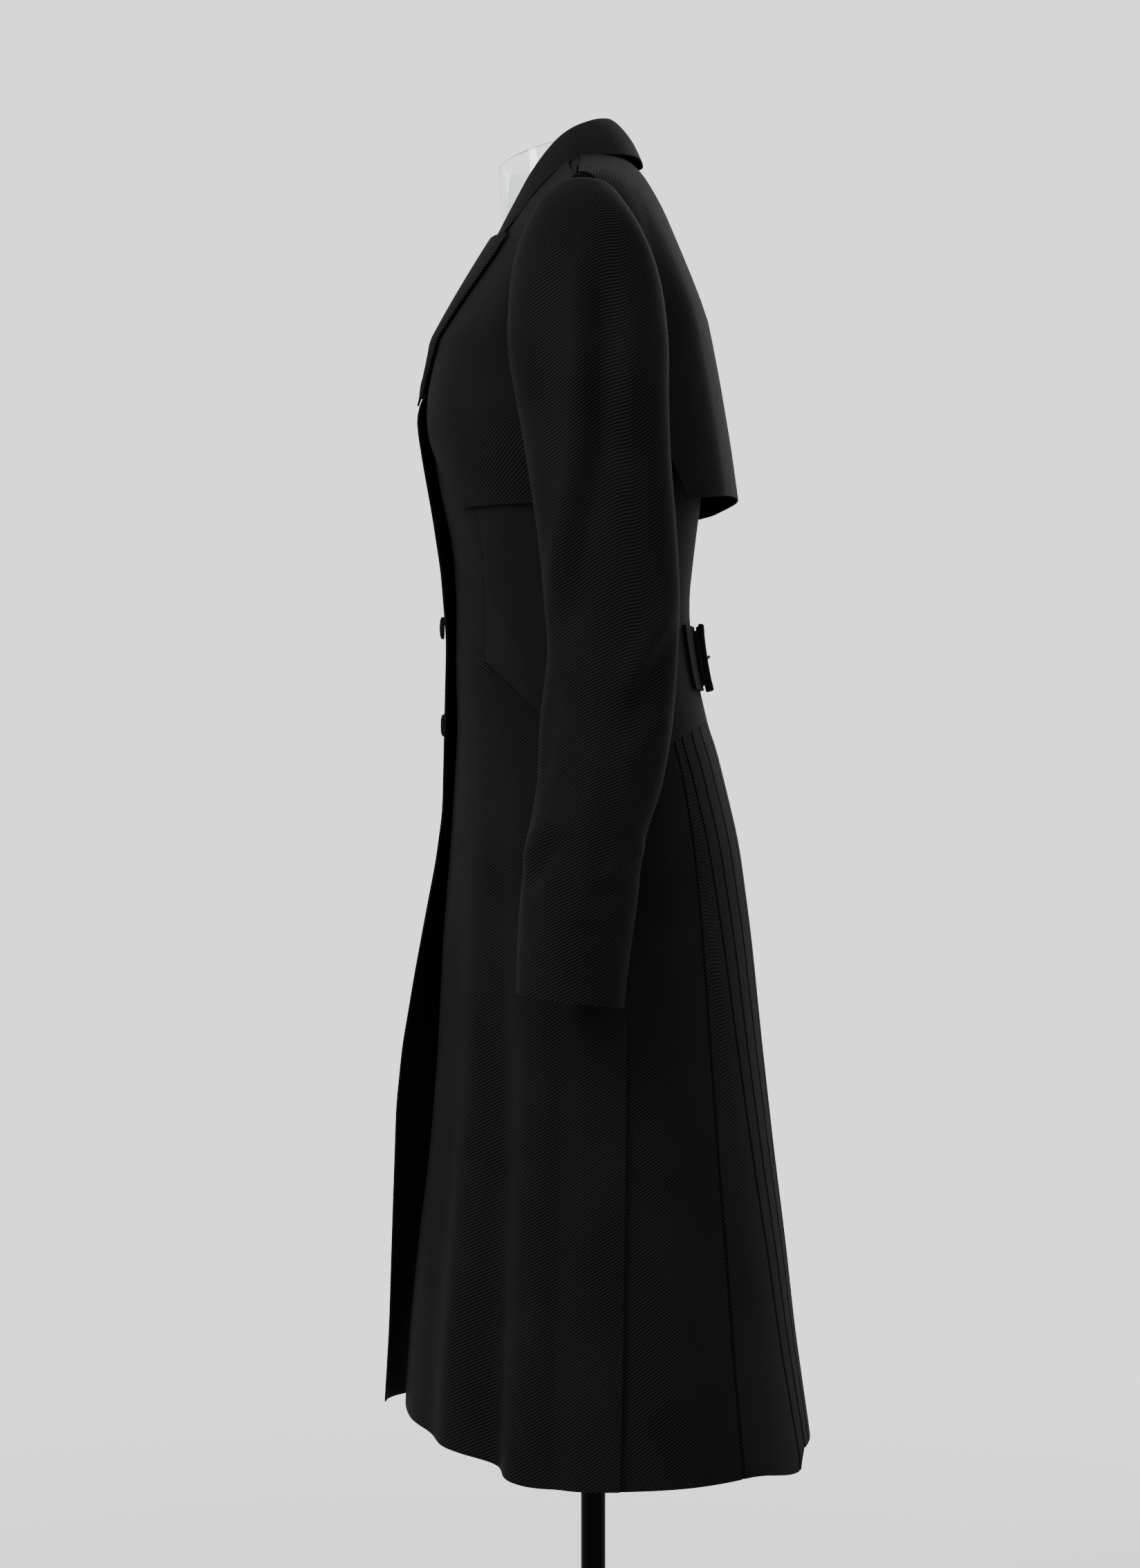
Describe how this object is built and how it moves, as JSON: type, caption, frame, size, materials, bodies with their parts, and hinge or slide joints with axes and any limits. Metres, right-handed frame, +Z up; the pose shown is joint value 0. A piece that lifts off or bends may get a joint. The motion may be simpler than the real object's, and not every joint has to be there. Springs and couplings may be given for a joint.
{
  "type": "long coat on a dress form",
  "caption": "Long fitted coat with storm flaps, loose back cape, half belt and pleated back, on a clear limbless dress form with a pole and round base.",
  "frame": {"origin": "on the floor, at the centre of the base's underside, on the pole's axis", "axes": "+Z up, the coat's front faces -Y, the wearer's left is +X"},
  "size_m": [0.55, 0.4, 1.4141],
  "materials": {
    "black_twill": "matt black wool twill with a fine diagonal rib",
    "prong_metal": "small plain metal prong",
    "clear_acrylic": "clear polished acrylic",
    "black_steel": "gloss black painted steel"
  },
  "bodies": {
    "root": {"front_left": "black_twill", "front_right": "black_twill", "side_left": "black_twill", "side_right": "black_twill", "back_left": "black_twill", "back_right": "black_twill", "hip_yoke_left": "black_twill", "hip_yoke_right": "black_twill", "storm_flap_left": "black_twill", "storm_flap_right": "black_twill", "lapel_left": "black_twill", "lapel_right": "black_twill", "top_sleeve_left": "black_twill", "top_sleeve_right": "black_twill", "under_sleeve_left": "black_twill", "under_sleeve_right": "black_twill", "skirt_side_back_left": "black_twill", "skirt_side_back_right": "black_twill", "pleated_back_left": "black_twill", "pleated_back_right": "black_twill", "storm_cape": "black_twill", "collar": "black_twill", "belt_left": "black_twill", "belt_right": "black_twill", "belt_tip": "black_twill", "buckle": "black_twill", "button_1": "black_twill", "button_2": "black_twill", "buckle_prong": "prong_metal", "form_bust": "clear_acrylic", "form_plate": "clear_acrylic", "pole": "black_steel", "base": "black_steel"}
  },
  "joints": []
}
